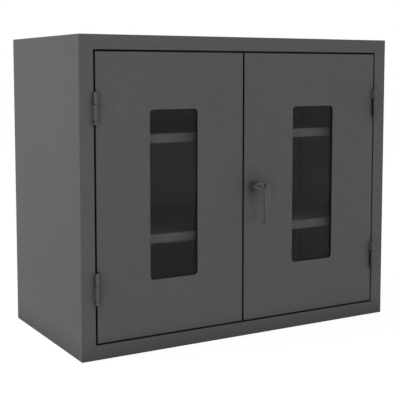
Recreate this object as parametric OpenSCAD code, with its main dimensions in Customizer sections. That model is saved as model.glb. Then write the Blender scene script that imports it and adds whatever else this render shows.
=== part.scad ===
// Two-door steel cabinet: a welded body with a framed front, two windowed doors on
// barrel hinges, two shelves on slotted uprights, and a turn handle that drives a rod
// latch. Origin at the middle of the base, doors face -Y, +X to the right, +Z up.

/* [Body] */
// Width over the sides
body_w = 914; // [860:1:1200]
// Depth from the front face to the back
body_d = 457; // [400:1:600]
// Height from the base to the top
body_h = 768; // [760:1:900]
// Thickness of the steel sheet
sheet = 2; // [1.5:0.1:2.1]
// Outside radius of the bent edges of doors, frame and shelves
bend_r = 2.4; // [2.4:0.1:3]

/* [Front frame] */
// Width of the two upright members
stile_w = 36.8; // [34:0.1:42]
// Height of the top member
header_h = 35.3; // [34:0.1:40]
// Height of the bottom member
sill_h = 35.8; // [34:0.1:40]
// How far the inner edge of the frame turns back
jamb_d = 10; // [8:1:10]

/* [Doors] */
// Gap round each door
gap = 3.6; // [3:0.1:4]
// How far the joint between the doors lies left of the middle
joint_offset = 9; // [6:1:12]
// Depth of a door over its bent edges
door_d = 25; // [25:1:28]
// Width of the lip that the door's edges turn in at the back
lip_w = 14; // [12:1:18]

/* [Windows] */
// Width of each opening
window_w = 131.5; // [110:0.5:150]
// Height of each opening
window_h = 414; // [360:1:430]
// Corner radius of each opening
window_r = 10; // [8:1:20]
// Distance of each window's middle from the middle of the cabinet
window_x = 210; // [200:1:220]
// Thickness of the seal between the door and the pane
seal_t = 3.2; // [3:0.1:4]
// Thickness of the clear pane
pane_t = 4; // [3:0.5:5]

/* [Hinges] */
// Diameter of the barrels
barrel_dia = 10.5; // [10:0.5:11]
// Diameter of the pins
pin_dia = 6; // [5:0.1:6.4]
// Length of the knuckle welded to the door
door_knuckle_l = 28; // [20:1:34]
// Length of the knuckle welded to the frame
frame_knuckle_l = 37; // [24:1:44]
// Height of the pin's head
pin_head_h = 9; // [4:1:12]
// Distance of each hinge's middle from the middle of the door
hinge_z = 212.5; // [180:0.5:240]
// How far the pins' axes stand in front of the doors
hinge_out = 5.8; // [5.4:0.1:6.4]

/* [Shelves] */
// Height of the lower shelf's top
lower_shelf_z = 279.5; // [229.5:50:329.5]
// Height of the upper shelf's top
upper_shelf_z = 529.5; // [429.5:50:579.5]
// How far the shelves lie behind the front face
shelf_set_back = 45; // [44:1:80]
// Height of the shelves' bent edges
shelf_lip = 23; // [18:1:30]
// Distance between the slots of the uprights
slot_pitch = 50; // [50:50:50]

/* [Handle and latch] */
// Distance of the handle's shaft from the middle of the cabinet
handle_x = 22; // [16:1:30]
// Height of the handle's shaft
handle_z = 388; // [370:1:400]
// How far the lever stands in front of the door
lever_out = 64; // [60:1:70]
// Length of the lever below its shaft
lever_l = 92; // [84:1:110]
// Width of the lever at its top
lever_w = 20; // [16:1:22]
// Height of the padlock slot above the shank
slot_gap = 4.4; // [4.4:0.2:5.4]
// Distance of the cam's pins from the shaft
cam_r = 12; // [10:0.5:12]
// Diameter of the latch rods
rod_dia = 8; // [7:0.5:8]
// How far the rods' axes lie behind the front face
rod_y = 15.5; // [15.5:0.5:16]

/* [Left door bolt] */
// Distance of the bolt from the middle of the cabinet
bolt_x = -34; // [-60:1:-32]
// Length of the bolt
bolt_l = 92; // [90:1:110]
// Height of the bolt's knob above its foot
knob_z = 26.8; // [26.8:0.1:40]

/* [Hidden] */
$fn = 48;

// Places that the driving dimensions give
half_w = body_w / 2;
front_y = -body_d / 2;
back_y = body_d / 2;
opening_x = half_w - stile_w;
opening_top = body_h - header_h;
door_bottom = sill_h + gap;
door_top = opening_top - gap;
door_h = door_top - door_bottom;
door_mid_z = (door_bottom + door_top) / 2;
door_edge_x = opening_x - gap;
left_door_w = door_edge_x - joint_offset - gap / 2;
right_door_w = door_edge_x + joint_offset - gap / 2;
door_back_y = front_y + door_d;
// Small clearances: parts that only rest side by side, and parts that turn or slide
side_play = 0.3;
running_play = 0.05;
sliding_play = 0.1;
press_play = 0.02;
// Window stack, measured back from the front face
window_z = body_h / 2;
seal_in = 0.3;
seal_w = 12;
pane_front = sheet + seal_t;
pane_margin = 15;
retainer_front = pane_front + pane_t;
retainer_margin = 30;
stud_margin = 22;
stud_dia = 5;
stud_spread = [-165, -55, 55, 165];
// Hinge places
hinge_x = half_w - stile_w - gap / 2;
hinge_y = front_y - hinge_out;
hinge_gap = 1.2;
barrel_l = door_knuckle_l + frame_knuckle_l + pin_head_h + 2 * hinge_gap;
edge_break = 0.6;
// Shelves and their supports
shelf_half_w = half_w - sheet - 11;
shelf_front_y = front_y + shelf_set_back;
shelf_back_y = back_y - sheet - 3.5;
upright_w = 24;
upright_d = 9;
upright_t = 1.5;
upright_bottom = 20;
upright_l = body_h - 40;
upright_y = [front_y + 78.5, back_y - 58.5];
slot_w = 12;
slot_h = 5;
first_slot_z = 54.5;
slot_count = 14;
clip_t = 4;
// Door stops
stop_w = 60;
stop_x = [-75, 75];
stop_foot = 15;
stop_overlap = 17;
bumper_dia = 12;
bumper_t = 3.7;
stop_y = door_back_y + side_play + bumper_t;
// Handle and latch, measured from the shaft: outward is -Y
rose_dia = 24;
rose_t = 6;
hub_front = rose_t + 0.5;
spindle_dia = 9;
spindle_in_hub = 7;
cam_front = 7;
cam_t = 4;
cam_pin_dia = 5;
cam_angle = -45;
fork_t = 5;
fork_play = 0.5;
pin_side = cam_r * cos(cam_angle);
pin_rise = cam_r * sin(cam_angle);
fork_open_x = pin_side - 2;
fork_slot_x = cam_r + cam_pin_dia / 2 + side_play;
fork_web = 2.5;
fork_tine = 4;
rod_x = 13;
rod_recess = 1.3;
rod_tip = 3;
guide_h = 14;
guide_w = 12;
upper_guide_z = [470, 690];
lower_guide_z = [80, 300];

steel_coat = [0.35, 0.35, 0.35];
inner_coat = [0.33, 0.33, 0.33];
bare_steel = [0.62, 0.62, 0.6];
dark_rubber = [0.07, 0.07, 0.07];
smoked_clear = [0.2, 0.2, 0.2, 0.6];

// ---- shared shapes ----

// Box from its lowest to its highest corner
module block(low, high) {
  translate(low) cube(high - low);
}

// Rectangle with four round corners, its lower left corner at the origin
module round_rect(size, r) {
  translate([r, 0]) square([size[0] - 2 * r, size[1]]);
  translate([0, r]) square([size[0], size[1] - 2 * r]);
  for (x = [r, size[0] - r], y = [r, size[1] - r]) translate([x, y]) circle(r);
}

// Rectangle whose two corners on the X axis are round
module front_round(w, d, r) {
  translate([r, 0]) square([w - 2 * r, d]);
  translate([0, r]) square([w, d - r]);
  for (x = [r, w - r]) translate([x, r]) circle(r);
}

// Section of bent sheet in the corner at the origin
module bend_section() {
  translate([bend_r, bend_r]) intersection() {
    difference() {
      circle(bend_r);
      circle(bend_r - sheet);
    }
    translate([-bend_r, -bend_r]) square(bend_r);
  }
}

// Outline in X and Z, made solid from y0 to y1
module xz_plate(y0, y1) {
  translate([0, y1, 0]) rotate([90, 0, 0]) linear_extrude(y1 - y0) children();
}

// Cylinder along Y from y0 to y1
module y_rod(dia, y0, y1) {
  translate([0, y1, 0]) rotate([90, 0, 0]) cylinder(d = dia, h = y1 - y0);
}

// Section (outward, back) carried round an opening that is centred on the Y axis
module around_opening(w, h, r) {
  rotate([-90, 0, 0]) for (side = [0:3]) {
    across = side % 2 == 0 ? w : h;
    along = side % 2 == 0 ? h : w;
    rotate(90 * side) {
      translate([across / 2, along / 2 - r, 0]) rotate([90, 0, 0]) linear_extrude(along - 2 * r) children();
      translate([across / 2 - r, along / 2 - r, 0]) rotate_extrude(angle = 90) translate([r, 0]) children();
    }
  }
}

// ---- body ----

// Outside of the whole body, its edges as round as the sheet is thick
module body_form() {
  intersection() {
    translate([-half_w, front_y, 0]) linear_extrude(body_h) round_rect([body_w, body_d], sheet);
    translate([-half_w, 0, 0]) xz_plate(front_y, back_y) round_rect([body_w, body_h], sheet);
    translate([-half_w, 0, 0]) rotate([90, 0, 90]) linear_extrude(body_w)
      translate([front_y, 0]) round_rect([body_d, body_h], sheet);
  }
}

// Section of a frame member: round outer edge, flat face, bent and turned-back inner edge
module member_section(w) {
  intersection() {
    translate([sheet, sheet]) circle(sheet);
    square(sheet);
  }
  translate([sheet, 0]) square([w - sheet - bend_r, sheet]);
  translate([w, 0]) mirror([1, 0]) bend_section();
  translate([w - sheet, bend_r]) square([sheet, jamb_d - bend_r]);
}

// Wedge that mitres the frame member between two corners, counted from the lower left
module mitre(first, last) {
  outer = [[-half_w, 0], [-half_w, body_h], [half_w, body_h], [half_w, 0]];
  inner = [[-opening_x, sill_h], [-opening_x, opening_top], [opening_x, opening_top], [opening_x, sill_h]];
  beyond = [for (i = [first, last]) outer[i] + 0.1 * (outer[i] - inner[i])];
  within = [for (i = [last, first]) inner[i] + 0.1 * (inner[i] - outer[i])];
  xz_plate(front_y - 1, front_y + jamb_d + 1) polygon(concat(beyond, within));
}

module upright_member() {
  translate([-half_w, front_y, 0]) linear_extrude(body_h) member_section(stile_w);
}

module level_member(h) {
  translate([-half_w, front_y, 0]) rotate([0, 90, 0]) linear_extrude(body_w) member_section(h);
}

module frame_left() color(steel_coat) intersection() {
  upright_member();
  mitre(0, 1);
}

module frame_right() color(steel_coat) intersection() {
  mirror([1, 0, 0]) upright_member();
  mitre(2, 3);
}

module frame_top() color(steel_coat) intersection() {
  translate([0, 0, body_h]) level_member(header_h);
  mitre(1, 2);
}

module frame_bottom() color(steel_coat) intersection() {
  mirror([0, 0, 1]) level_member(sill_h);
  mitre(3, 0);
}

module side_left() color(steel_coat) intersection() {
  block([-half_w, front_y + sheet, 0], [-half_w + sheet, back_y, body_h]);
  body_form();
}

module side_right() color(steel_coat) mirror([1, 0, 0]) side_left();

module top_panel() color(steel_coat)
  block([-half_w + sheet, front_y + sheet, body_h - sheet], [half_w - sheet, back_y - sheet, body_h]);

module bottom_panel() color(steel_coat)
  block([-half_w + sheet, front_y + sheet, 0], [half_w - sheet, back_y - sheet, sheet]);

module back_panel() color(steel_coat) intersection() {
  block([-half_w + sheet, back_y - sheet, 0], [half_w - sheet, back_y, body_h]);
  body_form();
}

// ---- shelves ----

// Slotted channel on the left side panel, at one depth
module upright(y) color(inner_coat) translate([-half_w + sheet, y - upright_w / 2, 0]) difference() {
  translate([0, 0, upright_bottom]) cube([upright_d, upright_w, upright_l]);
  translate([-1, upright_t, 0]) cube([upright_d - upright_t + 1, upright_w - 2 * upright_t, body_h]);
  for (i = [0:slot_count - 1])
    translate([0, (upright_w - slot_w) / 2, first_slot_z + i * slot_pitch - slot_h / 2])
      cube([upright_d + 1, slot_w, slot_h]);
}

// Tongue and leg of one clip, under the left edge of a shelf at height z
module clip(y, z) {
  translate([-half_w + sheet, y - slot_w / 2 + 0.5, z - clip_t]) {
    translate([2, 0, 0]) cube([24, slot_w - 1, clip_t]);
    translate([upright_d, 0, -16]) cube([2.5, slot_w - 1, 16 + clip_t]);
    translate([upright_d - upright_t - 2.5, 0, 0]) cube([2.5, slot_w - 1, clip_t + 5]);
  }
}

module clips(shelf_z) color(bare_steel)
  for (side = [0, 1], y = upright_y) mirror([side, 0, 0]) clip(y, shelf_z - shelf_lip);

// Pan open below, its edges bent down and its front edge turned in
module shelf(top_z) color(inner_coat) {
  w = 2 * shelf_half_w;
  d = shelf_back_y - shelf_front_y;
  translate([-shelf_half_w, shelf_front_y, top_z]) mirror([0, 0, 1]) {
    difference() {
      shelf_form(w, d, shelf_lip, bend_r);
      translate([sheet, sheet, sheet]) shelf_form(w - 2 * sheet, d - 2 * sheet, shelf_lip, bend_r - sheet);
    }
    translate([sheet, sheet, shelf_lip - sheet]) cube([w - 2 * sheet, 10, sheet]);
  }
}

// Block whose edges on the base plane are round
module shelf_form(w, d, h, r) {
  intersection() {
    translate([0, d, 0]) rotate([90, 0, 0]) linear_extrude(d) front_round(w, h, r);
    rotate([90, 0, 90]) linear_extrude(w) front_round(d, h, r);
  }
}

// ---- door stops ----

// Angle on the floor, its upright leg behind the doors' lower edge
module stop_angle(x) {
  block([x - stop_w / 2, stop_y, sheet], [x + stop_w / 2, stop_y + sheet, door_bottom + stop_overlap]);
  block([x - stop_w / 2, stop_y + sheet, sheet], [x + stop_w / 2, stop_y + stop_foot, 2 * sheet]);
}

module stop_pair() {
  for (x = stop_x) stop_angle(x);
}

// The same height counted down from the top panel
module from_top() {
  translate([0, 0, body_h]) mirror([0, 0, 1]) children();
}

module door_stops() color(inner_coat) {
  stop_pair();
  from_top() stop_pair();
}

module bumper_pair() {
  for (x = stop_x) translate([x, 0, door_bottom + lip_w / 2]) {
    y_rod(bumper_dia, stop_y - bumper_t + 1, stop_y);
    translate([0, stop_y - bumper_t + 1, 0]) rotate([90, 0, 0]) cylinder(d1 = bumper_dia, d2 = bumper_dia - 2, h = 1);
  }
}

module stop_bumpers() color(dark_rubber) {
  bumper_pair();
  from_top() bumper_pair();
}

// ---- hinges ----

// Tube along Z with broken edges
module knuckle_tube(l, bore) {
  difference() {
    union() {
      cylinder(d1 = barrel_dia - 2 * edge_break, d2 = barrel_dia, h = edge_break);
      translate([0, 0, edge_break]) cylinder(d = barrel_dia, h = l - 2 * edge_break);
      translate([0, 0, l - edge_break]) cylinder(d1 = barrel_dia, d2 = barrel_dia - 2 * edge_break, h = edge_break);
    }
    translate([0, 0, -1]) cylinder(d = bore, h = l + 2);
  }
}

// Weld between the tube and the flat face to its left
module weld_bead(l, bore) {
  flat_x = gap / 2 + bend_r + 0.1;
  difference() {
    translate([0, 0, edge_break]) linear_extrude(l - 2 * edge_break)
      polygon([[-flat_x, hinge_out], [-7.6, hinge_out], [-barrel_dia / 2 + 0.3, 1.6], [-2, 0]]);
    translate([0, 0, -1]) cylinder(d = bore, h = l + 2);
  }
}

// Places one hinge's foot: side is -1 for the left door and 1 for the right
module at_hinge(side, height) {
  translate([side * hinge_x, hinge_y, door_mid_z + height - barrel_l / 2])
    mirror([side > 0 ? 1 : 0, 0, 0]) children();
}

module frame_knuckle(side, height) color(steel_coat) at_hinge(side, height)
  translate([0, 0, pin_head_h + hinge_gap]) {
    bore = pin_dia + 2 * press_play;
    knuckle_tube(frame_knuckle_l, bore);
    weld_bead(frame_knuckle_l, bore);
  }

module door_knuckle(side, height) color(steel_coat) at_hinge(side, height)
  translate([0, 0, barrel_l - door_knuckle_l]) {
    bore = pin_dia + 2 * running_play;
    knuckle_tube(door_knuckle_l, bore);
    mirror([1, 0, 0]) weld_bead(door_knuckle_l, bore);
    translate([0, 0, door_knuckle_l - 3]) cylinder(d = bore + 1, h = 2.4);
  }

module hinge_pin(side, height) color(steel_coat) at_hinge(side, height) {
  cylinder(d1 = barrel_dia - 2, d2 = barrel_dia, h = 1);
  translate([0, 0, 1]) cylinder(d = barrel_dia, h = pin_head_h - 1);
  translate([0, 0, pin_head_h]) cylinder(d = pin_dia, h = barrel_l - pin_head_h - 4);
}

module hinge_washers() color(bare_steel)
  for (side = [-1, 1], height = [-hinge_z, hinge_z]) at_hinge(side, height)
    translate([0, 0, pin_head_h + hinge_gap + frame_knuckle_l]) difference() {
      cylinder(d = barrel_dia - 1.6, h = hinge_gap - 0.1);
      translate([0, 0, -1]) cylinder(d = pin_dia + 2 * running_play, h = 3);
    }

// ---- doors ----

// Block with its front edges bent round, lower left front corner at the origin
module pan_form(w, d, h, r) {
  intersection() {
    linear_extrude(h) front_round(w, d, r);
    translate([w, 0, 0]) rotate([0, -90, 0]) linear_extrude(w) front_round(h, d, r);
  }
}

module at_window(side) {
  translate([side * window_x, front_y, window_z]) children();
}

// Door from x0 to x0 + w: a pan with turned-in lips and a window opening
module door_pan(x0, w, side) {
  difference() {
    translate([x0, front_y, door_bottom]) difference() {
      pan_form(w, door_d, door_h, bend_r);
      translate([sheet, sheet, sheet])
        pan_form(w - 2 * sheet, door_d - 2 * sheet, door_h - 2 * sheet, bend_r - sheet);
      block([lip_w, sheet + 5, lip_w], [w - lip_w, door_d + 1, door_h - lip_w]);
    }
    at_window(side) window_plate(-1, sheet + 1, 0, window_r);
  }
}

module window_seal(side) color(dark_rubber)
  at_window(side) around_opening(window_w, window_h, window_r)
    translate([seal_in, sheet]) square([seal_w, seal_t]);

// Rectangle centred on a window, margin wider on every side than its opening
module window_plate(y0, y1, margin, r) {
  xz_plate(y0, y1) translate([-window_w / 2 - margin, -window_h / 2 - margin])
    round_rect([window_w + 2 * margin, window_h + 2 * margin], r);
}

module window_pane(side) color(smoked_clear)
  at_window(side) window_plate(pane_front, retainer_front, pane_margin, 5);

module at_studs() {
  long_x = window_w / 2 + stud_margin;
  long_z = window_h / 2 + stud_margin;
  for (x = [-long_x, long_x], z = stud_spread) translate([x, 0, z]) children();
  for (z = [-long_z, long_z]) translate([0, 0, z]) children();
}

module window_retainer(side) color(steel_coat) at_window(side) difference() {
  window_plate(retainer_front, retainer_front + sheet, retainer_margin, 6);
  window_plate(retainer_front - 1, retainer_front + sheet + 1, 1, window_r + 1);
  at_studs() y_rod(stud_dia + 0.6, retainer_front - 1, retainer_front + sheet + 1);
}

module window_studs(side) color(bare_steel)
  at_window(side) at_studs() y_rod(stud_dia, sheet, retainer_front + sheet + 6);

module window_nuts(side) color(bare_steel) at_window(side) at_studs() difference() {
  translate([0, retainer_front + sheet + 4, 0]) rotate([90, 0, 0]) cylinder(d = 9.2, h = 4, $fn = 6);
  y_rod(stud_dia + 2 * press_play, retainer_front + sheet - 1, retainer_front + sheet + 5);
}

module door_left() color(steel_coat) difference() {
  door_pan(-door_edge_x, left_door_w, -1);
  translate([bolt_x, front_y + rod_y, door_top - 2 * sheet]) cylinder(d = rod_dia + 1, h = 3 * sheet);
}

module door_right() color(steel_coat) difference() {
  door_pan(door_edge_x - right_door_w, right_door_w, 1);
  at_handle() {
    y_rod(spindle_dia + 1, -1, sheet + 1);
    translate([rod_x, rod_y, door_top - handle_z - 2 * sheet]) cylinder(d = rod_dia + 1, h = 3 * sheet);
    translate([-rod_x, rod_y, door_bottom - handle_z - sheet]) cylinder(d = rod_dia + 1, h = 3 * sheet);
  }
}

// ---- left door's slide bolt ----

module left_bolt() color(bare_steel) translate([bolt_x, front_y + rod_y, door_top - rod_recess - bolt_l]) {
  cylinder(d = rod_dia, h = bolt_l - rod_tip);
  translate([0, 0, bolt_l - rod_tip]) cylinder(d1 = rod_dia, d2 = rod_dia - 3, h = rod_tip);
  translate([0, 0, knob_z]) {
    y_rod(5, 0, 14);
    y_rod(9, 13, 18);
  }
}

// Plate on the door's skin with a bored lug at each end
module bolt_bracket() color(bare_steel)
  translate([bolt_x, front_y, door_top - rod_recess - bolt_l]) difference() {
    union() {
      block([-10, sheet, 8], [10, 2 * sheet, 86]);
      for (z = [12, 70]) guide_post(z, 12);
    }
    translate([0, rod_y, 0]) cylinder(d = rod_dia + 2 * sliding_play, h = bolt_l);
  }

// ---- handle and latch ----

module at_handle() {
  translate([handle_x, front_y, handle_z]) children();
}

// Post with a round back that stands on the door's skin, its foot at height z
module guide_post(z, h) {
  translate([0, 0, z]) {
    block([-guide_w / 2, sheet, 0], [guide_w / 2, rod_y, h]);
    translate([0, rod_y, 0]) cylinder(d = guide_w, h = h);
  }
}

module rod_guide(x, z) {
  translate([handle_x + x, front_y, 0]) difference() {
    guide_post(z, guide_h);
    translate([0, rod_y, z - 1]) cylinder(d = rod_dia + 2 * sliding_play, h = guide_h + 2);
  }
}

module rod_guides() color(bare_steel) {
  for (z = upper_guide_z) rod_guide(rod_x, z);
  for (z = lower_guide_z) rod_guide(-rod_x, z);
}

module handle_rose() color(steel_coat) at_handle() difference() {
  union() {
    y_rod(rose_dia, -3, 0);
    translate([0, -3, 0]) rotate([90, 0, 0]) cylinder(d1 = rose_dia, d2 = rose_dia - 4, h = rose_t - 3);
  }
  y_rod(spindle_dia + 2 * running_play, -rose_t - 1, 1);
}

module spindle_bush() color(bare_steel) at_handle() difference() {
  y_rod(18, sheet, cam_front - 0.5);
  y_rod(spindle_dia + 2 * running_play, sheet - 1, cam_front + 1);
}

// One station of the lever: a bar end, rounded by its own thickness
module lever_station(out, z, w, t) {
  for (x = [-1, 1]) translate([x * (w - t) / 2, -out, z]) sphere(d = t, $fn = 20);
}

// Hanging lever: flat, its top round, tapering down to a tip that curls back to the door
module lever() {
  t = 8;
  stations = [
    [lever_out, 10.4, lever_w * 0.6, t],
    [lever_out, 4, lever_w, t],
    [lever_out, -18, lever_w, t],
    [lever_out, -lever_l * 0.72, lever_w * 0.74, t],
    [lever_out - 2, -lever_l * 0.85, lever_w * 0.68, t],
    [lever_out - 7, -lever_l * 0.935, lever_w * 0.62, t - 1],
    [lever_out - 14, -lever_l + 3, lever_w * 0.56, t - 2]
  ];
  for (i = [0:len(stations) - 2]) hull() for (s = [stations[i], stations[i + 1]])
    lever_station(s[0], s[1], s[2], s[3]);
}

// Hub, shank with a padlock finger above it, and lever, cast in one
module handle() color(steel_coat) at_handle() {
  neck_half_w = 6;
  shank_low = -4.4;
  shank_top = 2.6;
  finger_low = shank_top + slot_gap;
  finger_top = finger_low + 5.2;
  finger_start = 25;
  slot_end = lever_out - 16;
  notch_start = lever_out - 9;
  difference() {
    union() {
      y_rod(18, -hub_front - 4, -hub_front);
      translate([0, -hub_front - 4, 0]) rotate([90, 0, 0]) cylinder(d1 = 18, d2 = 13, h = 3);
      block([-neck_half_w, -lever_out, shank_low], [neck_half_w, -hub_front - 2, shank_top]);
      block([-neck_half_w, -lever_out, shank_top - 1], [neck_half_w, -slot_end, finger_low + 1]);
      block([-neck_half_w, -notch_start, finger_low], [neck_half_w, -finger_start, finger_top]);
      lever();
    }
    y_rod(spindle_dia + 2 * press_play, -hub_front - spindle_in_hub, -hub_front + 1);
  }
}

module spindle() color(bare_steel) at_handle() {
  y_rod(spindle_dia, -hub_front - spindle_in_hub, cam_front);
  y_rod(8, cam_front, cam_front + cam_t);
  y_rod(6, cam_front + cam_t, cam_front + cam_t + 7);
}

// Two-armed plate with a pin at each end
module latch_cam() color(bare_steel) at_handle() rotate([0, -cam_angle, 0]) {
  difference() {
    xz_plate(cam_front, cam_front + cam_t) {
      circle(9);
      translate([-cam_r, -5]) square([2 * cam_r, 10]);
      for (x = [-cam_r, cam_r]) translate([x, 0]) circle(5);
    }
    y_rod(8 + 2 * press_play, cam_front - 1, cam_front + cam_t + 1);
  }
  for (x = [-cam_r, cam_r]) translate([x, 0, 0]) y_rod(cam_pin_dia, cam_front + cam_t, rod_y + fork_t / 2 + 1);
}

module cam_nut() color(bare_steel) at_handle() difference() {
  translate([0, cam_front + cam_t + 4.5, 0]) rotate([90, 0, 0]) cylinder(d = 11.5, h = 4.5, $fn = 6);
  y_rod(6 + 2 * press_play, cam_front + cam_t - 1, cam_front + cam_t + 6);
}

// Rod that rises from a fork on the cam's pin to length l above it
module latch_rod(l) {
  slot_half = cam_pin_dia / 2 + fork_play;
  fork_half = slot_half + fork_tine;
  y0 = rod_y - fork_t / 2;
  y1 = rod_y + fork_t / 2;
  difference() {
    block([fork_open_x, y0, -fork_half], [fork_slot_x + fork_web, y1, fork_half]);
    block([fork_open_x - 1, y0 - 1, -slot_half], [fork_slot_x, y1 + 1, slot_half]);
  }
  translate([rod_x, rod_y, slot_half + 0.5]) cylinder(d = rod_dia, h = l - rod_tip - slot_half - 0.5);
  translate([rod_x, rod_y, l - rod_tip]) cylinder(d1 = rod_dia, d2 = rod_dia - 3, h = rod_tip);
}

module upper_rod() color(bare_steel) at_handle()
  translate([0, 0, pin_rise]) latch_rod(door_top - rod_recess - handle_z - pin_rise);

module lower_rod() color(bare_steel) at_handle()
  rotate([0, 180, 0]) translate([0, 0, pin_rise]) latch_rod(handle_z - pin_rise - door_bottom - rod_recess);

// ---- one line for each part ----

frame_left();
frame_right();
frame_top();
frame_bottom();
side_left();
side_right();
top_panel();
bottom_panel();
back_panel();
upright(upright_y[0]);  // upright_front_left
mirror([1, 0, 0]) upright(upright_y[0]);  // upright_front_right
upright(upright_y[1]);  // upright_rear_left
mirror([1, 0, 0]) upright(upright_y[1]);  // upright_rear_right
shelf(lower_shelf_z);  // shelf_lower
shelf(upper_shelf_z);  // shelf_upper
clips(lower_shelf_z);  // shelf_clips_lower
clips(upper_shelf_z);  // shelf_clips_upper
door_stops();
stop_bumpers();
frame_knuckle(-1, hinge_z);  // frame_knuckle_left_upper
frame_knuckle(-1, -hinge_z);  // frame_knuckle_left_lower
frame_knuckle(1, hinge_z);  // frame_knuckle_right_upper
frame_knuckle(1, -hinge_z);  // frame_knuckle_right_lower
hinge_pin(-1, hinge_z);  // hinge_pin_left_upper
hinge_pin(-1, -hinge_z);  // hinge_pin_left_lower
hinge_pin(1, hinge_z);  // hinge_pin_right_upper
hinge_pin(1, -hinge_z);  // hinge_pin_right_lower
hinge_washers();
door_left();
door_knuckle(-1, hinge_z);  // door_knuckle_left_upper
door_knuckle(-1, -hinge_z);  // door_knuckle_left_lower
window_seal(-1);  // window_seal_left
window_pane(-1);  // window_pane_left
window_retainer(-1);  // window_retainer_left
window_studs(-1);  // window_studs_left
window_nuts(-1);  // window_nuts_left
bolt_bracket();
left_bolt();
door_right();
door_knuckle(1, hinge_z);  // door_knuckle_right_upper
door_knuckle(1, -hinge_z);  // door_knuckle_right_lower
window_seal(1);  // window_seal_right
window_pane(1);  // window_pane_right
window_retainer(1);  // window_retainer_right
window_studs(1);  // window_studs_right
window_nuts(1);  // window_nuts_right
handle_rose();
spindle_bush();
rod_guides();
handle();
spindle();
latch_cam();
cam_nut();
upper_rod();
lower_rod();
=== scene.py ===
# %% [markdown]
# # A steel tool cabinet with two windowed doors
# This lesson dresses a finished CAD model of a workshop cabinet. The solids give every size, and
# Blender adds what the solids lack: the grain of the paint, the cast handle with its soft edges, the
# weld beads on the hinges, the smoked panes, the light and the camera. Everything is in metres. The
# origin is the middle of the base, +X is to the right, the doors face -Y and +Z is up.

# %% Load the model
import math

import bmesh
import bpy
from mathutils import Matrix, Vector, noise as pattern


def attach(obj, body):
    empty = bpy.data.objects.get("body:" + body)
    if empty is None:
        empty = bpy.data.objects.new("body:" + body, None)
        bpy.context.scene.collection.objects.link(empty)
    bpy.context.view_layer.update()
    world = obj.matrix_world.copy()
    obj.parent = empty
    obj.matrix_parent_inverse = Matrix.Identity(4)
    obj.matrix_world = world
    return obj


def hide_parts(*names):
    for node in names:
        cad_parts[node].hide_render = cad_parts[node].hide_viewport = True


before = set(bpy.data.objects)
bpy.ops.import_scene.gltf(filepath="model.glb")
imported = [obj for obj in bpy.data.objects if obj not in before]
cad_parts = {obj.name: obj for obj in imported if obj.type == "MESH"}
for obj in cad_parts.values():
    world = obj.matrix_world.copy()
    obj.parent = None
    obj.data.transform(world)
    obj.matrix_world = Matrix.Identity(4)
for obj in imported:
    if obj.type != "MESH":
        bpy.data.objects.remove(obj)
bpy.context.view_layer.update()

# %% [markdown]
# ## Small helpers for the finishes
# A finish here is a Principled shader with a few nodes in front of it. Adding a node and setting its
# sockets takes several lines each time, so one helper does both. It takes plain numbers and outputs
# of other nodes alike, which keeps each finish readable from top to bottom.

# %% Nodes in one line
def new_finish(name):
    finish = bpy.data.materials.new(name)
    finish.use_nodes = True
    tree = finish.node_tree
    return finish, tree, tree.nodes["Principled BSDF"]


def add(tree, kind, values=None, **settings):
    node = tree.nodes.new("ShaderNode" + kind)
    for key, value in settings.items():
        setattr(node, key, value)
    for key, value in (values or {}).items():
        if hasattr(value, "is_output"):
            tree.links.new(value, node.inputs[key])
        else:
            node.inputs[key].default_value = value
    return node


print("plain materials that came with the solids:", len(bpy.data.materials))

# %% [markdown]
# ## Grain in real sizes
# A pattern needs a scale. All the patterns below read the object's own coordinates, in metres, so a
# noise of scale 1000 has grains about a millimetre across on every part, however large the part is.
# Neighbouring sheets share one pattern, and it stays on the sheet when a door swings.

# %% Noise, remapping and relief
def noise(tree, scale, detail=2.0, stretch=None):
    where = add(tree, "TexCoord").outputs["Object"]
    if stretch:
        where = add(tree, "Mapping", {"Vector": where, "Scale": stretch}).outputs["Vector"]
    return add(tree, "TexNoise", {"Vector": where, "Scale": scale, "Detail": detail}).outputs["Fac"]


def remap(tree, value, low, high, start=0.3, end=0.7):
    spread = {"Value": value, "From Min": start, "From Max": end, "To Min": low, "To Max": high}
    return add(tree, "MapRange", spread).outputs["Result"]


def tinted(tree, colour, *factors):
    for factor in factors:
        mix = add(tree, "Mix", data_type="RGBA", blend_type="MULTIPLY")
        mix.inputs[0].default_value = 1.0
        if hasattr(colour, "is_output"):
            tree.links.new(colour, mix.inputs[6])
        else:
            mix.inputs[6].default_value = (*colour, 1.0)
        tree.links.new(factor, mix.inputs[7])
        colour = mix.outputs[2]
    return colour


def relief(tree, shader, height, distance):
    bump = add(tree, "Bump", {"Height": height, "Distance": distance, "Strength": 1.0})
    tree.links.new(bump.outputs["Normal"], shader.inputs["Normal"])


coat_grain = 850.0
print("grain of the coat:", round(1000.0 / coat_grain, 2), "mm")

# %% [markdown]
# ## Powder coat
# The cabinet is sprayed with dry powder that melts in an oven. It flows into a matt skin with a fine
# pebbled grain over a softer orange peel, a little darker in the pits, and its tone drifts slightly
# over a large sheet. One image of paint would stretch and repeat, so three sizes of noise make it:
# the grain drives colour, gloss and relief together, as in the real skin. The colour also carries
# painted shade: an ambient occlusion node measures how closed in a point is, within a distance in
# metres, and the paint is made darker where one piece stands close to another. The doors keep the
# full depth of this painted shade round the handle, and the frame gets less, because the picture
# shows little there. The render works it out anew at each pose. A baked texture keeps it as it is
# with the doors closed.

# %% Powder coat
dark_grey = (0.12, 0.1205, 0.121)
smooth_relief, rough_relief = 0.00011, 0.0002


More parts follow.
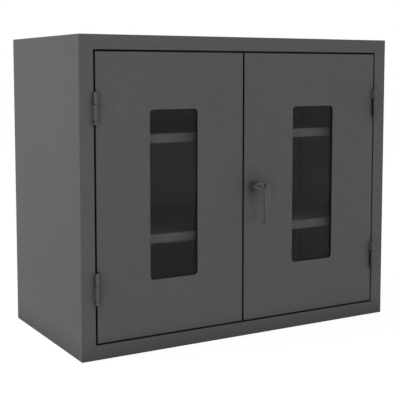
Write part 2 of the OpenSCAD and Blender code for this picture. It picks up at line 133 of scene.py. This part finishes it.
def powder_coat(name, grey, grain=coat_grain, pebble=smooth_relief, reach=0.06, deepest_shade_tone=0.0):
    finish, tree, shader = new_finish(name)
    shader.inputs["Specular IOR Level"].default_value = 0.13
    fine = noise(tree, grain, 3.0)
    peel = noise(tree, grain / 9, 2.0)
    drift = noise(tree, 2.2, 2.0)
    # Painted shade: the colour is made darker where the ambient occlusion node finds other parts close
    # by.
    painted_occlusion_shade = add(tree, "AmbientOcclusion", {"Distance": reach}, samples=8).outputs["AO"]
    tones = (
        remap(tree, fine, 0.9, 1.1),
        remap(tree, peel, 0.96, 1.04),
        remap(tree, drift, 0.97, 1.03),
        remap(tree, painted_occlusion_shade, deepest_shade_tone, 1.0, 0.4, 1.0),
    )
    tree.links.new(tinted(tree, grey, *tones), shader.inputs["Base Color"])
    tree.links.new(remap(tree, fine, 0.52, 0.64), shader.inputs["Roughness"])
    height = add(tree, "Math", {0: peel, 1: 0.35}, operation="MULTIPLY").outputs[0]
    height = add(tree, "Math", {0: height, 1: fine}, operation="ADD").outputs[0]
    relief(tree, shader, height, pebble)
    return finish


cast_grain = 520.0
# Painted shade: the frame gets only part of the darkening by nearby parts, and the doors get the full
# depth of it.
coat = powder_coat("dark_grey_powder", dark_grey, deepest_shade_tone=0.6)
door_paint = powder_coat("door_powder", dark_grey)
shelf_paint = powder_coat("shelf_powder", (0.112, 0.1125, 0.113), reach=0.01)
# Painted shade: the round plate behind the handle gets a darker grey than the doors, for the shade it
# stands in.
rose_shaded_grey = (0.1, 0.1005, 0.101)
rose_shaded_paint = powder_coat("rose_shaded_powder", rose_shaded_grey, cast_grain, rough_relief, deepest_shade_tone=0.5)
print("powder coats:", coat.name, door_paint.name, shelf_paint.name, rose_shaded_paint.name)

# %% [markdown]
# ## The casting, with painted light and shade
# The handle has the same coat, sprayed over a rougher casting. Its neck, the stretch between the door
# and the lever, is made paler and uneven: painted light, for the light on the neck's sides. Close to
# the door the paint is made darker: painted shade. Both stretches are found from the distance to the
# door, read in metres from the object's coordinates. A mask painted by hand would need UVs.

# %% Cast paint
door_y = -0.2285


def lit_and_shaded_cast(name, grey, start, end, above, paler):
    finish = powder_coat(name, grey, cast_grain, rough_relief, reach=0.006)
    tree = finish.node_tree
    shader = tree.nodes["Principled BSDF"]
    where = add(tree, "TexCoord").outputs["Object"]
    place = add(tree, "SeparateXYZ", {"Vector": where}).outputs
    beyond_start = remap(tree, place["Y"], 0.0, 1.0, door_y - start, door_y - start - 0.005)
    before_end = remap(tree, place["Y"], 0.0, 1.0, door_y - end, door_y - end + 0.003)
    on_neck = remap(tree, place["Z"], 0.0, 1.0, above, above + 0.002)
    # Painted light: the neck's colour is made paler, unevenly, for the light on its sides.
    painted_light = remap(tree, noise(tree, 160.0, 3.0), 0.75, 1.0)
    for limit in (beyond_start, before_end, on_neck):
        painted_light = add(tree, "Math", {0: painted_light, 1: limit}, operation="MULTIPLY").outputs[0]
    colour = shader.inputs["Base Color"].links[0].from_socket
    tones = (
        remap(tree, painted_light, 1.0, paler, 0.0, 1.0),
        # Painted shade: the colour near the door, up to about 18 mm out, is made darker.
        remap(tree, place["Y"], 0.6, 1.0, door_y - start, door_y - start - 0.006),
    )
    tree.links.new(tinted(tree, colour, *tones), shader.inputs["Base Color"])
    return finish


cast_paint = lit_and_shaded_cast("cast_powder", dark_grey, start=0.012, end=0.0545, above=0.378, paler=2.1)
print("lit_shaded paint:", cast_paint.name)

# %% [markdown]
# ## Zinc plate
# Rods, clips, nuts and brackets are steel with a thin coat of zinc. It is a grey metal with cloudy
# patches, and fine scratches run along the bar from drawing and sliding. Stretching a noise to a
# twentieth along one axis turns its grains into such scratches.

# %% Zinc plate
def zinc_plate(name, along, pitch=None):
    finish, tree, shader = new_finish(name)
    shader.inputs["Metallic"].default_value = 1.0
    cloud = noise(tree, 60.0, 3.0)
    stretch = tuple(0.05 if axis == along else 1.0 for axis in "XYZ")
    scratch = noise(tree, 2600.0, 2.0, stretch)
    tones = (remap(tree, cloud, 0.86, 1.08), remap(tree, scratch, 0.94, 1.06))
    tree.links.new(tinted(tree, (0.54, 0.55, 0.56), *tones), shader.inputs["Base Color"])
    tree.links.new(remap(tree, cloud, 0.32, 0.5), shader.inputs["Roughness"])
    if pitch:
        where = add(tree, "TexCoord").outputs["Object"]
        thread = {"Vector": where, "Scale": math.pi / (10.0 * pitch)}
        wave = add(tree, "TexWave", thread, wave_type="BANDS", bands_direction=along)
        relief(tree, shader, wave.outputs["Fac"], pitch * 0.5)
    else:
        relief(tree, shader, scratch, 0.00002)
    return finish


zinc_bar = zinc_plate("zinc_bar", "Z")
zinc_inward = zinc_plate("zinc_inward", "Y")
zinc_thread = zinc_plate("zinc_thread", "Y", pitch=0.0008)
print("zinc finishes:", zinc_bar.name, zinc_inward.name, zinc_thread.name)

# %% [markdown]
# ## Rubber and black washers
# The seals of the windows and the bumpers of the door stops are dull black rubber. Rubber reflects
# little, and its moulded skin is slightly uneven, with dust that greys the high spots. The thrust
# washers in the hinges get the same dull black, a shade paler, so the splits of the hinge barrels
# show as dark lines, and one helper makes both.

# %% Rubber
def dull_rubber(name, grey):
    finish, tree, shader = new_finish(name)
    shader.inputs["Specular IOR Level"].default_value = 0.2
    skin = noise(tree, 420.0, 3.0)
    dust = noise(tree, 45.0, 2.0)
    tones = (remap(tree, skin, 0.8, 1.2), remap(tree, dust, 0.85, 1.25))
    tree.links.new(tinted(tree, grey, *tones), shader.inputs["Base Color"])
    tree.links.new(remap(tree, skin, 0.62, 0.8), shader.inputs["Roughness"])
    relief(tree, shader, skin, 0.00005)
    return finish


rubber = dull_rubber("black_rubber", (0.012, 0.012, 0.012))
black_washer_finish = dull_rubber("black_washer_finish", (0.02, 0.02, 0.021))
print("soft blacks:", rubber.name, black_washer_finish.name)

# %% [markdown]
# ## Smoked panes
# The panes are clear sheet with a light smoke tint. Full transmission and a tint do that. The low
# refractive index stands for a coating that takes most of the mirror shine away, and a faint, uneven
# film on the sheet softens what shows through. Lamps can't shine through a refracting sheet without
# costly caustics, so shadow rays see a plain see-through tint instead.

# %% Smoked pane
def smoked_sheet(name, tint):
    finish, tree, shader = new_finish(name)
    film = noise(tree, 14.0, 3.0)
    tree.links.new(tinted(tree, tint, remap(tree, film, 0.98, 1.02)), shader.inputs["Base Color"])
    tree.links.new(remap(tree, film, 0.05, 0.11), shader.inputs["Roughness"])
    shader.inputs["Transmission Weight"].default_value = 1.0
    shader.inputs["IOR"].default_value = 1.21
    clear = add(tree, "BsdfTransparent", {"Color": (*(math.sqrt(part) for part in tint), 1.0)})
    lit = add(tree, "MixShader", {0: add(tree, "LightPath").outputs["Is Shadow Ray"]})
    tree.links.new(shader.outputs["BSDF"], lit.inputs[1])
    tree.links.new(clear.outputs["BSDF"], lit.inputs[2])
    tree.links.new(lit.outputs["Shader"], tree.nodes["Material Output"].inputs["Surface"])
    return finish


pane_finish = smoked_sheet("smoked_sheet", (0.65, 0.66, 0.67))
print("panes:", pane_finish.name)

# %% [markdown]
# ## Give each solid its finish
# The solids keep their shapes, and only their material slots change. The record names one slot per
# solid. A few solids get a finish of their own: the doors, bars that lie front to back, threaded
# studs, the hinge washers, and the round plate behind the handle, whose darker grey is painted shade.

# %% Finishes on the solids
finishes = {
    "powder_coat": coat,
    "shelf_coat": shelf_paint,
    "handle_coat": cast_paint,
    "zinc_steel": zinc_bar,
    "rubber": rubber,
    "smoked_pane": pane_finish,
}
own_finish = {
    "door_left": door_paint,
    "door_right": door_paint,
    "handle_rose": rose_shaded_paint,
    "window_studs_left": zinc_thread,
    "window_studs_right": zinc_thread,
    "hinge_washers": black_washer_finish,
    "spindle": zinc_inward,
    "spindle_bush": zinc_inward,
    "cam_nut": zinc_inward,
    "shelf_clips_lower": zinc_inward,
    "shelf_clips_upper": zinc_inward,
}
for name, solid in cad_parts.items():
    for place in solid.material_slots:
        slot_name = place.material.name.split(".")[0]
        place.material = own_finish.get(name, finishes[slot_name])
print("dressed", len(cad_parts), "solids")

# %% [markdown]
# ## Skins over rings
# Cast and welded forms have soft sections that change along a line. A form like that can be pulled
# from a subdivided box, but its sizes are then hard to hold. Here each form is a row of closed rings,
# and a skin joins each ring to the next. A ring is a superellipse: a power of 2 gives an ellipse, and
# a higher power gives a bar with round corners.

# %% Rings and skins
def ring(middle, across, up, power=3.0, points=28):
    """Closed ring round a middle, spanned by two half axes."""
    loop = []
    for i in range(points):
        turn = 2.0 * math.pi * i / points
        c, s = math.cos(turn), math.sin(turn)
        along = math.copysign(abs(c) ** (2.0 / power), c)
        rise = math.copysign(abs(s) ** (2.0 / power), s)
        loop.append(middle + across * along + up * rise)
    return loop


def skin(shape, rings):
    """Add one closed skin over the rings to a bmesh."""
    rows = [[shape.verts.new(point) for point in loop] for loop in rings]
    for row, after in zip(rows, rows[1:]):
        for i in range(len(row)):
            k = (i + 1) % len(row)
            shape.faces.new((row[i], row[k], after[k], after[i]))
    shape.faces.new(list(reversed(rows[0])))
    shape.faces.new(rows[-1])


def new_piece(name, shape, finish):
    bmesh.ops.recalc_face_normals(shape, faces=shape.faces[:])
    mesh = bpy.data.meshes.new(name)
    shape.to_mesh(mesh)
    shape.free()
    piece = bpy.data.objects.new(name, mesh)
    bpy.context.scene.collection.objects.link(piece)
    piece.data.materials.append(finish)
    for face in mesh.polygons:
        face.use_smooth = True
    return piece


print("points in a ring:", len(ring(Vector(), Vector((1, 0, 0)), Vector((0, 0, 1)))))

# %% [markdown]
# ## A smooth line through a few stations
# A pattern maker draws a curved part by its sections at a few stations and lets a bent batten find
# the line between them. A Catmull-Rom curve is that batten: it passes through every station. A bezier
# curve object could do it too, but then the widths at each station would need a second curve. Lengths
# round the handle are millimetres from its shaft, as on a pattern maker's drawing.

# %% Shaft and smooth line
shaft = Vector((0.022, door_y, 0.388))


def at_shaft(x, out, z):
    return shaft + Vector((x, -out, z)) / 1000.0


def smooth_between(rows, steps):
    """Catmull-Rom curve through rows of numbers."""
    path = []
    for i in range(len(rows) - 1):
        a, b, c, d = rows[max(i - 1, 0)], rows[i], rows[i + 1], rows[min(i + 2, len(rows) - 1)]
        for step in range(steps):
            t = step / steps
            path.append([])
            for p, q, r, s in zip(a, b, c, d):
                bend = (2 * p - 5 * q + 4 * r - s) * t * t + (3 * q - p - 3 * r + s) * t ** 3
                path[-1].append(0.5 * (2 * q + (r - p) * t + bend))
    return path + [list(rows[-1])]


print("shaft:", [round(part, 4) for part in shaft])

# %% [markdown]
# ## The lever of the handle
# The handle is one casting: a hub on the shaft, a shank that stands out from the door, a padlock
# finger above the shank, and a lever that hangs down and curls back to the door at its tip. A bent
# box would be quicker, but the real lever is wide at the shank, narrow at both ends and leans a
# little at the top, so each station has its own place and half widths.

# %% Lever
def lever_rings():
    # out from the door, height, sideways, half width, half thickness
    stations = [
        (64.0, 13.9, 1.6, 2.4, 1.6), (64.0, 12.6, 1.9, 4.6, 3.2), (64.0, 9.6, 2.2, 7.0, 3.8),
        (64.0, 6.6, 1.8, 7.8, 3.8), (64.0, 3.4, 0.4, 9.4, 3.8), (64.0, 0.0, 0.0, 9.9, 3.8),
        (64.0, -18.0, 0.0, 9.9, 3.8), (64.0, -42.0, 0.0, 8.7, 3.8), (64.0, -64.0, 0.0, 7.6, 3.8),
        (62.2, -76.0, 0.0, 7.0, 3.8), (58.6, -84.0, 0.0, 6.5, 3.8), (53.6, -88.2, 0.0, 6.0, 3.4),
        (50.0, -89.0, 0.0, 5.6, 3.0), (48.2, -89.2, 0.0, 4.6, 2.0),
    ]
    path = smooth_between(stations, 4)
    rings = []
    for i, (out, z, x, half_w, half_t) in enumerate(path):
        before, after = path[max(i - 1, 0)], path[min(i + 1, len(path) - 1)]
        run = Vector((0.0, -(after[0] - before[0]), after[1] - before[1])).normalized()
        thick = run.cross(Vector((1.0, 0.0, 0.0)))
        across = Vector((half_w / 1000.0, 0, 0))
        rings.append(ring(at_shaft(x, out, z), across, thick * half_t / 1000.0, 2.7))
    return rings


print("lever rings:", len(lever_rings()))

# %% [markdown]
# ## Hub, shank and padlock finger
# These run straight out from the door, so their rings only need a distance, a middle height and two
# half sizes. The end rings of the hub and the finger are drawn in, which rounds their ends. The shank
# runs on into the lever, and a short web ties the finger to both and closes the padlock slot.

# %% Hub, shank, finger and web
def bar_outwards(shape, rows, power):
    """Bar along the shaft's axis: out, middle height, half width, half height."""
    skin(shape, [
        ring(at_shaft(0, out, z), Vector((half_w / 1000.0, 0, 0)), Vector((0, 0, half_h / 1000.0)), power)
        for out, z, half_w, half_h in rows
    ])


hub = [(6.5, 0, 8.4, 8.4), (7.1, 0, 9.0, 9.0), (10.6, 0, 9.0, 9.0), (14.4, 0, 6.6, 6.6)]
shank = [(9.0, -0.9, 6.0, 3.5), (30.0, -0.9, 6.0, 3.5), (63.0, -0.9, 6.0, 3.5)]
finger = [
    (25.2, 9.6, 5.0, 1.8), (25.9, 9.6, 6.0, 2.6),
    (54.2, 9.6, 6.0, 2.6), (54.9, 9.6, 5.2, 2.0),
]
web = [(48.3, 4.2, 5.9, 3.4), (62.0, 4.0, 5.9, 3.0)]


def cast_handle():
    shape = bmesh.new()
    skin(shape, lever_rings())
    for rows, power in ((hub, 2.0), (shank, 7.0), (finger, 6.0), (web, 7.0)):
        bar_outwards(shape, rows, power)
    return new_piece("cast_handle", shape, cast_paint)


handle = cast_handle()
print("points before the skins flow together:", len(handle.data.vertices))

# %% [markdown]
# ## Flow the casting together
# The five skins overlap. A boolean union would leave hard seams between them, and a casting has none,
# because metal and paint round every inner corner. A voxel remesh welds the skins into one, a little
# smoothing draws soft fillets, and a decimate step drops the points that flat faces don't need.

# %% Remesh, smooth and decimate
def settle(piece):
    """Put the modifiers' result into the mesh and drop the modifiers."""
    bpy.context.view_layer.update()
    solved = piece.evaluated_get(bpy.context.evaluated_depsgraph_get())
    mesh = bpy.data.meshes.new_from_object(solved)
    mesh.name = piece.name
    piece.modifiers.clear()
    piece.data = mesh
    for face in mesh.polygons:
        face.use_smooth = True


voxel = 0.0006
weld_together = handle.modifiers.new("weld", "REMESH")
weld_together.mode = "VOXEL"
weld_together.voxel_size = voxel
soften = handle.modifiers.new("soften", "SMOOTH")
soften.factor = 0.5
soften.iterations = 5
thin_out = handle.modifiers.new("thin_out", "DECIMATE")
thin_out.ratio = 0.3
settle(handle)
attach(handle, "turn_handle")
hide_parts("handle")
print("handle faces:", len(handle.data.polygons))

# %% [markdown]
# ## A weld bead
# A weld bead is a row of frozen ripples, like coins that lean on each other. A texture can't show
# that along the edge of the bead, so it is built: rings follow the groove beside the barrel, and
# their size swells and drops once for each ripple, with some unevenness from a fixed pattern.

# %% Weld bead
ripple = 0.0021


def weld_bead(name, x, y, low, high, body):
    shape = bmesh.new()
    rings = []
    steps = round((high - low) / (ripple / 6.0))
    for i in range(steps + 1):
        z = low + (high - low) * i / steps
        wave = ((z - low) / ripple) % 1.0
        uneven = pattern.noise(Vector((x * 900.0, z * 400.0, 1.5)))
        size = 0.00155 + 0.00032 * (1.0 - wave) ** 0.6 + 0.00016 * uneven
        size *= math.sqrt(max(0.12, 1.0 - (2.0 * i / steps - 1.0) ** 12))
        middle = Vector((x + 0.00012 * uneven, y, z + 0.0004 * wave))
        rings.append(ring(middle, Vector((size, 0, 0)), Vector((0, size * 1.1, 0)), 2.0, 14))
    skin(shape, rings)
    piece = new_piece(name, shape, coat)
    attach(piece, body)
    return piece


print("ripple of a bead:", round(ripple * 1000.0, 1), "mm")

# %% [markdown]
# ## Beads on the four hinges
# Each hinge is a barrel in two pieces, one welded to the frame and one to the door. The beads sit in
# the grooves on both sides of the barrel, each as long as its own piece, and ride with the frame or
# with the door. The places come from the same numbers as the solids, so the beads touch the barrels.

# %% Place the beads
hinge_x, hinge_y = 0.4184, -0.2343
door_middle, hinge_spread, barrel = 0.38425, 0.2125, 0.0764
frame_part, door_part, frame_rise = 0.037, 0.028, 0.0102
groove_x, groove_y, short_of_end = 0.0061, 0.0041, 0.0012
beads = 0
for side, hand in ((-1, "left"), (1, "right")):
    for height, level in ((-hinge_spread, "lower"), (hinge_spread, "upper")):
        foot = door_middle + height - barrel / 2
        for low, length, place, body in (
            (foot + frame_rise, frame_part, side, "cabinet"),
            (foot + barrel - door_part, door_part, -side, hand + "_door"),
        ):
            x = side * hinge_x + place * groove_x
            ends = (low + short_of_end, low + length - short_of_end)
            weld_bead(f"weld_{body}_{hand}_{level}", x, hinge_y + groove_y, *ends, body)
            beads += 1
print("weld beads:", beads)

# %% [markdown]
# ## Floor
# The picture has a plain white background. The floor is white paint, and what the camera and the
# reflections see of it is mostly a plain white veil. A fifth of the real shading is left, so the
# cabinet's own shadow still falls on it.

# %% Floor
veil_share, veil_white = 0.8, 1.17


def seen_directly(tree):
    path = add(tree, "LightPath").outputs
    first = add(tree, "Math", {0: path["Is Camera Ray"], 1: path["Is Glossy Ray"]}, operation="MAXIMUM")
    both = {0: first.outputs[0], 1: path["Is Transmission Ray"]}
    return add(tree, "Math", both, operation="MAXIMUM").outputs[0]


def floor_paint():
    finish, tree, shader = new_finish("studio_floor")
    shader.inputs["Base Color"].default_value = (0.8, 0.8, 0.8, 1.0)
    shader.inputs["Roughness"].default_value = 0.9
    shader.inputs["Specular IOR Level"].default_value = 0.0
    paint = shader.outputs["BSDF"]
    glow = add(tree, "Emission", {"Strength": veil_white}).outputs["Emission"]
    veil = add(tree, "MixShader", {0: veil_share, 1: paint, 2: glow}).outputs["Shader"]
    shown = add(tree, "MixShader", {0: seen_directly(tree), 1: paint, 2: veil})
    tree.links.new(shown.outputs["Shader"], tree.nodes["Material Output"].inputs["Surface"])
    return finish


half = 30.0
corners = [(-half, -half, 0), (half, -half, 0), (half, half, 0), (-half, half, 0)]
floor_mesh = bpy.data.meshes.new("floor")
floor_mesh.from_pydata(corners, [], [(0, 1, 2, 3)])
floor = bpy.data.objects.new("floor", floor_mesh)
bpy.context.scene.collection.objects.link(floor)
floor.data.materials.append(floor_paint())
print("floor:", floor.name)

# %% [markdown]
# ## The room
# The world is white where the camera or a reflection sees it. As a light it is dimmer, and it gives
# the even part of the light: about half of what falls on the doors comes from it. The rest is left
# to the lamps, which give the faces their different tones.

# %% World
world = bpy.data.worlds.new("studio")
bpy.context.scene.world = world
world.use_nodes = True
sky = world.node_tree
white = (1.0, 1.0, 1.0, 1.0)
dim = add(sky, "Background", {"Color": white, "Strength": 0.37})
bright = add(sky, "Background", {"Color": white, "Strength": 1.0})
room = {0: seen_directly(sky), 1: dim.outputs["Background"], 2: bright.outputs["Background"]}
sky.links.new(add(sky, "MixShader", room).outputs["Shader"], sky.nodes["World Output"].inputs["Surface"])
print("world light:", dim.inputs["Strength"].default_value)

# %% [markdown]
# ## Lamps
# The picture's shadows tell where the lamps stood. The handle's shadow falls down to the left, from
# a lamp high on the right, and a second one sits just above its shank, from low lamps in front. The
# flat left side is the brightest face, but the left edge of the lever is dark. So the two lamps for
# the side stand behind the plane of the doors, where they can't reach the front at all. Each lamp
# was first rendered alone, and the powers come from the mix that fits the picture's tones best.

# %% Lamps
def soft_box(name, place, target, size, power):
    lamp = bpy.data.lights.new(name, "AREA")
    lamp.shape = "RECTANGLE"
    lamp.size, lamp.size_y = size
    lamp.energy = power
    holder = bpy.data.objects.new(name, lamp)
    bpy.context.scene.collection.objects.link(holder)
    holder.location = place
    holder.rotation_euler = (Vector(target) - Vector(place)).to_track_quat("-Z", "Y").to_euler()
    return holder


left_side, front = (-0.45, 0.0, 0.4), (0.0, -0.22, 0.4)
soft_box("side_lamp", (-4.0, 1.3, 1.0), left_side, (2.4, 2.4), 30)
soft_box("side_high_lamp", (-3.4, 0.6, 2.6), left_side, (2.0, 2.0), 32)
soft_box("low_left_lamp", (-1.9, -3.1, 0.25), front, (1.2, 0.45), 14)
soft_box("low_front_lamp", (0.0, -3.8, 0.25), front, (1.2, 0.45), 11)
soft_box("high_lamp", (1.62, -2.54, 3.23), front, (1.4, 1.4), 13)
print("lamps:", len(bpy.data.lights))

# %% [markdown]
# ## Camera
# The camera stands to the left of the cabinet and a little below its top. Its place was worked out
# from the corners of the cabinet in the picture. A small downward shift keeps the upright edges
# almost upright while the camera stays nearly level.

# %% Camera
tip_down, turned_right = 5.02, 30.11
lens = bpy.data.cameras.new("camera")
lens.lens = 81.97
lens.sensor_width = 36.0
lens.shift_y = -0.12
camera = bpy.data.objects.new("camera", lens)
bpy.context.scene.collection.objects.link(camera)
camera.location = (-1.2636, -2.1709, 0.6807)
camera.rotation_euler = (math.radians(90.0 - tip_down), 0.0, math.radians(-turned_right))
bpy.context.scene.camera = camera
bpy.context.scene.view_settings.view_transform = "Standard"
print("camera:", [round(part, 3) for part in camera.location], "lens", lens.lens)
